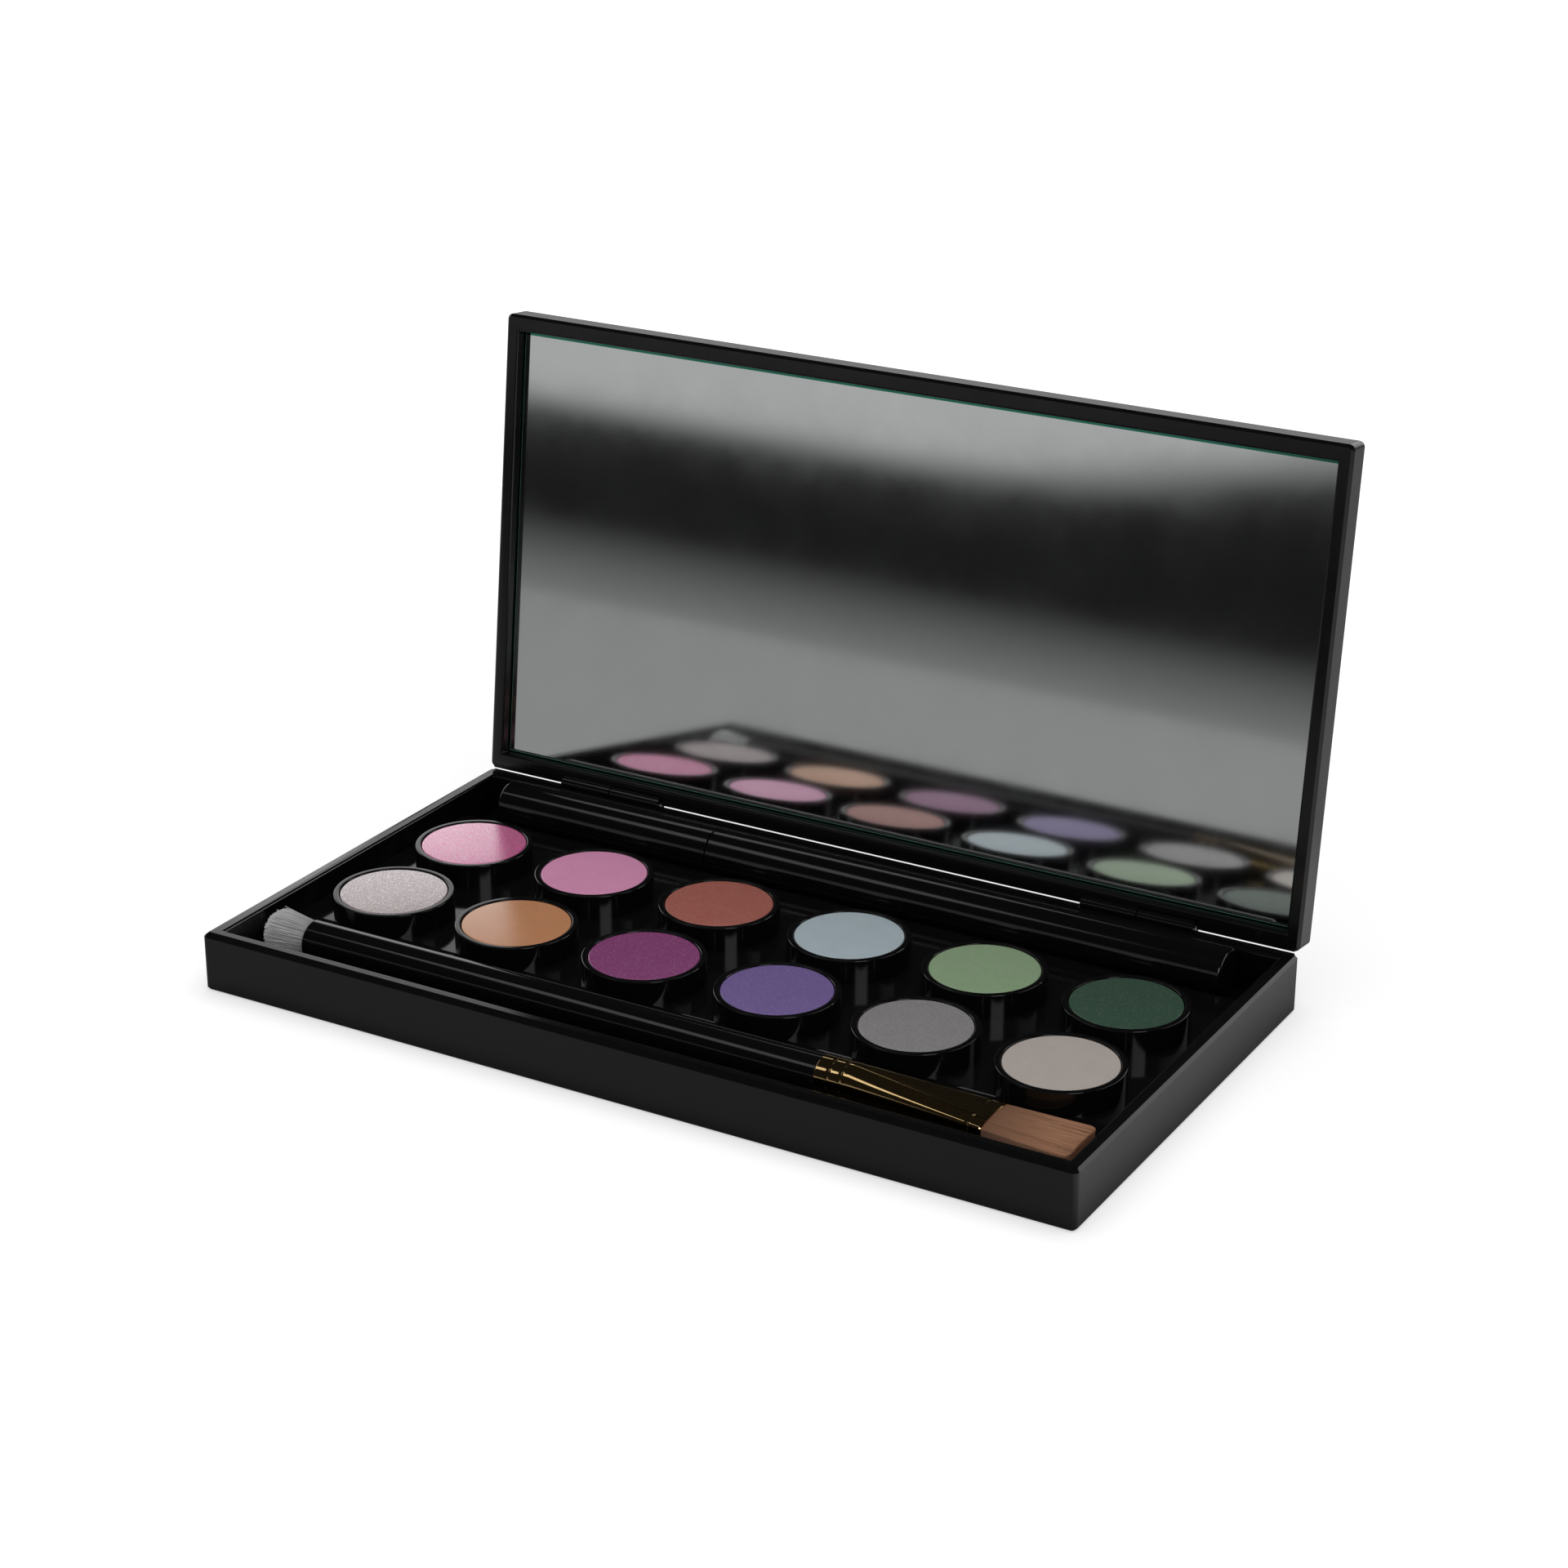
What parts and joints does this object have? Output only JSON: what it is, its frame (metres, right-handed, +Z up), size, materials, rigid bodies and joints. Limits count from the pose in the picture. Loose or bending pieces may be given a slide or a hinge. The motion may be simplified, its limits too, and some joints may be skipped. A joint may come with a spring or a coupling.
{
  "type": "eyeshadow palette",
  "caption": "Flat rectangular makeup palette with a hinged mirror lid, round pots of pressed powder on a raised tray, and channels for a double-ended brush and a liner pen.",
  "frame": {"origin": "centre of the base's underside, on the surface that the palette lies on", "axes": "+X along the hinge to the user's right, +Y to the back where the lid stands, +Z up"},
  "size_m": [0.19, 0.1174, 0.1117],
  "materials": {
    "case_plastic": "satin black, moulded",
    "tray_plastic": "gloss black, moulded",
    "pot_plastic": "gloss black, moulded",
    "pressed_powder": "pressed powder, a colour for each pot",
    "mirror_glass": "silvered float glass",
    "adhesive_film": "double-sided adhesive film",
    "pin_steel": "drawn wire",
    "magnet_plating": "nickel plated",
    "handle_lacquer": "gloss black lacquer",
    "ferrule_brass": "polished gold tone",
    "flat_hair": "flat packed brown hair",
    "tuft_hair": "soft grey hair",
    "liner_plastic": "gloss black, moulded",
    "nib_felt": "pressed felt",
    "reservoir_felt": "ink-soaked fibre"
  },
  "bodies": {
    "base": {"base_shell": "case_plastic", "insert_tray": "tray_plastic", "pots_front_row": "pot_plastic", "pots_rear_row": "pot_plastic", "powders_front_row": "pressed_powder", "powders_rear_row": "pressed_powder", "base_magnets": "magnet_plating", "hinge_pin_left": "pin_steel", "hinge_pin_right": "pin_steel"},
    "lid": {"lid_shell": "case_plastic", "mirror_glass": "mirror_glass", "mirror_tape": "adhesive_film", "lid_magnets": "magnet_plating"},
    "brush": {"brush_handle": "handle_lacquer", "brush_ferrule": "ferrule_brass", "brush_flat_bristles": "flat_hair", "brush_soft_tuft": "tuft_hair"},
    "liner": {"liner_barrel": "liner_plastic", "liner_nib": "nib_felt", "liner_reservoir": "reservoir_felt", "liner_end_plug": "liner_plastic"},
    "cap": {"liner_cap": "liner_plastic"}
  },
  "joints": [
    {"name": "lid_hinge", "type": "hinge", "parent": "base", "child": "lid", "pos_m": [0, 0.0499, 0.0125], "axis": [1, 0, 0], "range_deg": [0, 96.75]},
    {"name": "brush_lift", "type": "slide", "parent": "base", "child": "brush", "axis": [0, 0, 1], "range_m": [0, 0.06]},
    {"name": "liner_lift", "type": "slide", "parent": "base", "child": "liner", "axis": [0, 0, 1], "range_m": [0, 0.06]},
    {"name": "cap_pull", "type": "slide", "parent": "liner", "child": "cap", "axis": [-1, 0, 0], "range_m": [0, 0.007]}
  ]
}
